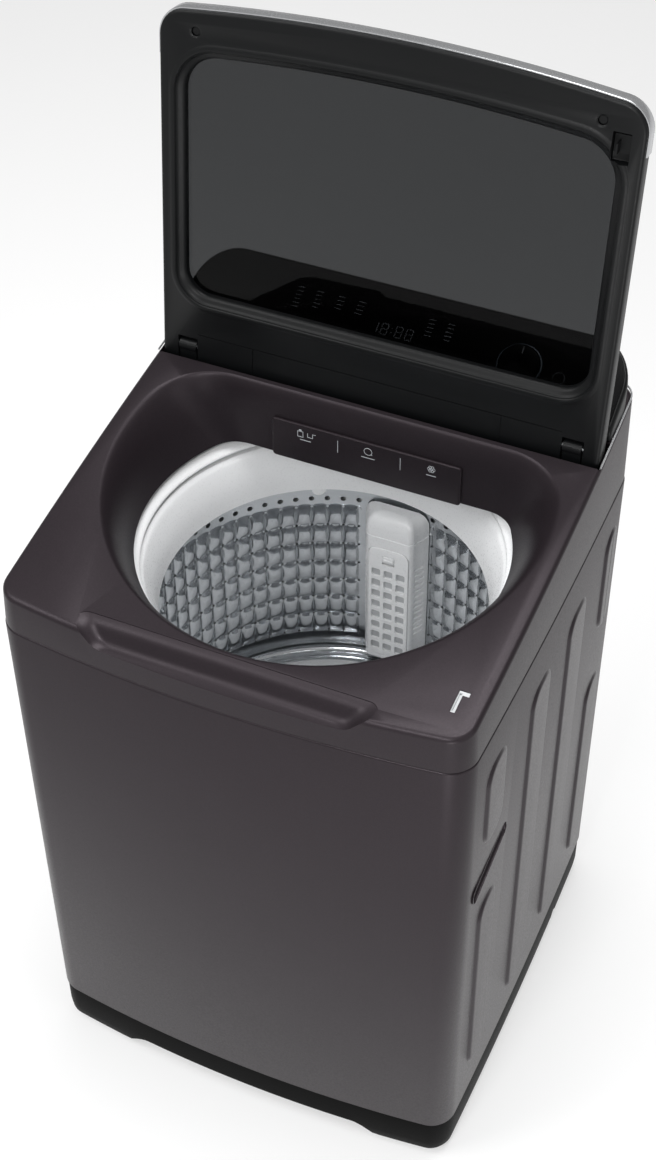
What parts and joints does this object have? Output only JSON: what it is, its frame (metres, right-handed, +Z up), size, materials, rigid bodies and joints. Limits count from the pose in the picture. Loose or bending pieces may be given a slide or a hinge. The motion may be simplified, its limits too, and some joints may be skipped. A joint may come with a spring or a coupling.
{
  "type": "top load washing machine",
  "caption": "Top load washing machine with a framed glass lid, sloping control console, suspended tub, embossed steel drum, pulsator, lint filter and dispenser drawer.",
  "frame": {"origin": "on the floor, in the middle of the machine's box", "axes": "+Z up, +X to the right of someone facing the front, +Y to the rear"},
  "size_m": [0.568, 0.56, 1.2895],
  "materials": {
    "aubergine_paint": "satin metallic paint",
    "aubergine_plastic": "satin metallic lacquer on moulded ABS",
    "black_plastic": "satin moulded ABS",
    "base_plastic": "moulded polypropylene",
    "white_plastic": "moulded polypropylene, semi gloss",
    "stainless": "embossed and perforated stainless sheet",
    "silver_trim": "satin bright plating",
    "smoked_glass": "tinted toughened glass",
    "panel_glass": "black printed toughened glass",
    "grey_plastic": "moulded",
    "zinc_steel": "zinc plated",
    "rubber": "moulded",
    "cast_aluminium": "die cast",
    "circuit_board": "solder resist"
  },
  "bodies": {
    "cabinet": {"cabinet_shell": "aubergine_paint", "rear_panel": "zinc_steel", "base_frame": "base_plastic", "drain_outlet": "grey_plastic", "cord_gland": "rubber", "rear_foot_left": "rubber", "rear_foot_right": "rubber", "top_cover": "aubergine_plastic", "lid_lock": "grey_plastic", "dispenser_housing": "white_plastic", "inlet_valve_hot": "grey_plastic", "inlet_valve_cold": "white_plastic", "level_sensor": "grey_plastic", "console_housing": "black_plastic", "console_trim": "silver_trim", "console_panel": "panel_glass", "control_board": "circuit_board", "hinge_bracket_left": "black_plastic", "hinge_bracket_right": "black_plastic", "suspension_rod_front_left": "zinc_steel", "suspension_rod_front_right": "zinc_steel", "suspension_rod_rear_left": "zinc_steel", "suspension_rod_rear_right": "zinc_steel"},
    "lid": {"lid_frame": "black_plastic", "lid_glass": "smoked_glass", "lid_trim": "silver_trim", "lid_striker": "zinc_steel", "lid_screw_left": "zinc_steel", "lid_screw_right": "zinc_steel", "hinge_pin_left": "zinc_steel", "hinge_pin_right": "zinc_steel"},
    "tub": {"outer_tub": "white_plastic", "tub_cover_ring": "white_plastic", "tub_frame": "zinc_steel", "gearcase": "cast_aluminium", "motor": "cast_aluminium", "drain_valve": "black_plastic", "drive_belt": "rubber", "suspension_spring_front_left": "zinc_steel", "suspension_spring_front_right": "zinc_steel", "suspension_spring_rear_left": "zinc_steel", "suspension_spring_rear_right": "zinc_steel"},
    "drum": {"drum_basket": "stainless", "balance_ring": "white_plastic", "drum_hub": "cast_aluminium", "filter_housing": "white_plastic"},
    "pulsator": {"pulsator": "white_plastic"},
    "drive_pulley": {"drive_pulley": "cast_aluminium"},
    "motor_pulley": {"motor_pulley": "zinc_steel"},
    "filter_door": {"filter_door": "white_plastic"},
    "filter_latch": {"filter_latch": "white_plastic"},
    "drawer": {"drawer_face": "aubergine_plastic", "drawer_tray": "white_plastic"},
    "dial": {"dial": "black_plastic"},
    "lock_bolt": {"lock_bolt": "zinc_steel"},
    "levelling_foot_left": {"levelling_foot_left": "rubber"},
    "levelling_foot_right": {"levelling_foot_right": "rubber"}
  },
  "joints": [
    {"name": "lid_hinge", "type": "hinge", "parent": "cabinet", "child": "lid", "pos_m": [0, 0.15132, 0.86184], "axis": [1, 0, 0], "range_deg": [0, 104.6]},
    {"name": "tub_suspension", "type": "slide", "parent": "cabinet", "child": "tub", "axis": [0, 0, 1], "range_m": [-0.02, 0.006], "stiffness_N_per_m": 10000, "springref_m": 0.03394, "deforming": ["suspension_spring_front_left", "suspension_spring_front_right", "suspension_spring_rear_left", "suspension_spring_rear_right"]},
    {"name": "drum_spin", "type": "hinge", "parent": "tub", "child": "drum", "pos_m": [0, 0, 0.345], "axis": [0, 0, 1], "continuous": true},
    {"name": "pulsator_spin", "type": "hinge", "parent": "tub", "child": "pulsator", "pos_m": [0, 0, 0.35], "axis": [0, 0, 1], "continuous": true},
    {"name": "drive_pulley_spin", "type": "hinge", "parent": "tub", "child": "drive_pulley", "pos_m": [0, 0, 0.121], "axis": [0, 0, 1], "continuous": true},
    {"name": "motor_pulley_spin", "type": "hinge", "parent": "tub", "child": "motor_pulley", "pos_m": [0, 0.16, 0.121], "axis": [0, 0, 1], "continuous": true},
    {"name": "filter_door_hinge", "type": "hinge", "parent": "drum", "child": "filter_door", "pos_m": [0, 0.1992, 0.381], "axis": [1, 0, 0], "range_deg": [0, 35]},
    {"name": "filter_latch_slide", "type": "slide", "parent": "filter_door", "child": "filter_latch", "axis": [0, 0, -1], "range_m": [0, 0.003], "stiffness_N_per_m": 120},
    {"name": "drawer_slide", "type": "slide", "parent": "cabinet", "child": "drawer", "axis": [0, -1, 0], "range_m": [0, 0.095]},
    {"name": "dial_turn", "type": "hinge", "parent": "cabinet", "child": "dial", "pos_m": [0.149, 0.224, 0.89879], "axis": [0, -0.5, 0.866], "continuous": true},
    {"name": "lock_bolt_slide", "type": "slide", "parent": "cabinet", "child": "lock_bolt", "axis": [0, -0.99, -0.1409], "range_m": [0, 0.009]},
    {"name": "levelling_foot_left_turn", "type": "hinge", "parent": "cabinet", "child": "levelling_foot_left", "pos_m": [-0.228, -0.218, 0.004], "axis": [0, 0, 1], "continuous": true},
    {"name": "levelling_foot_right_turn", "type": "hinge", "parent": "cabinet", "child": "levelling_foot_right", "pos_m": [0.228, -0.218, 0.004], "axis": [0, 0, 1], "continuous": true}
  ],
  "couplings": [
    {"joint": "drive_pulley_spin", "follows": "pulsator_spin", "ratio": 4},
    {"joint": "motor_pulley_spin", "follows": "pulsator_spin", "ratio": 13.12}
  ]
}
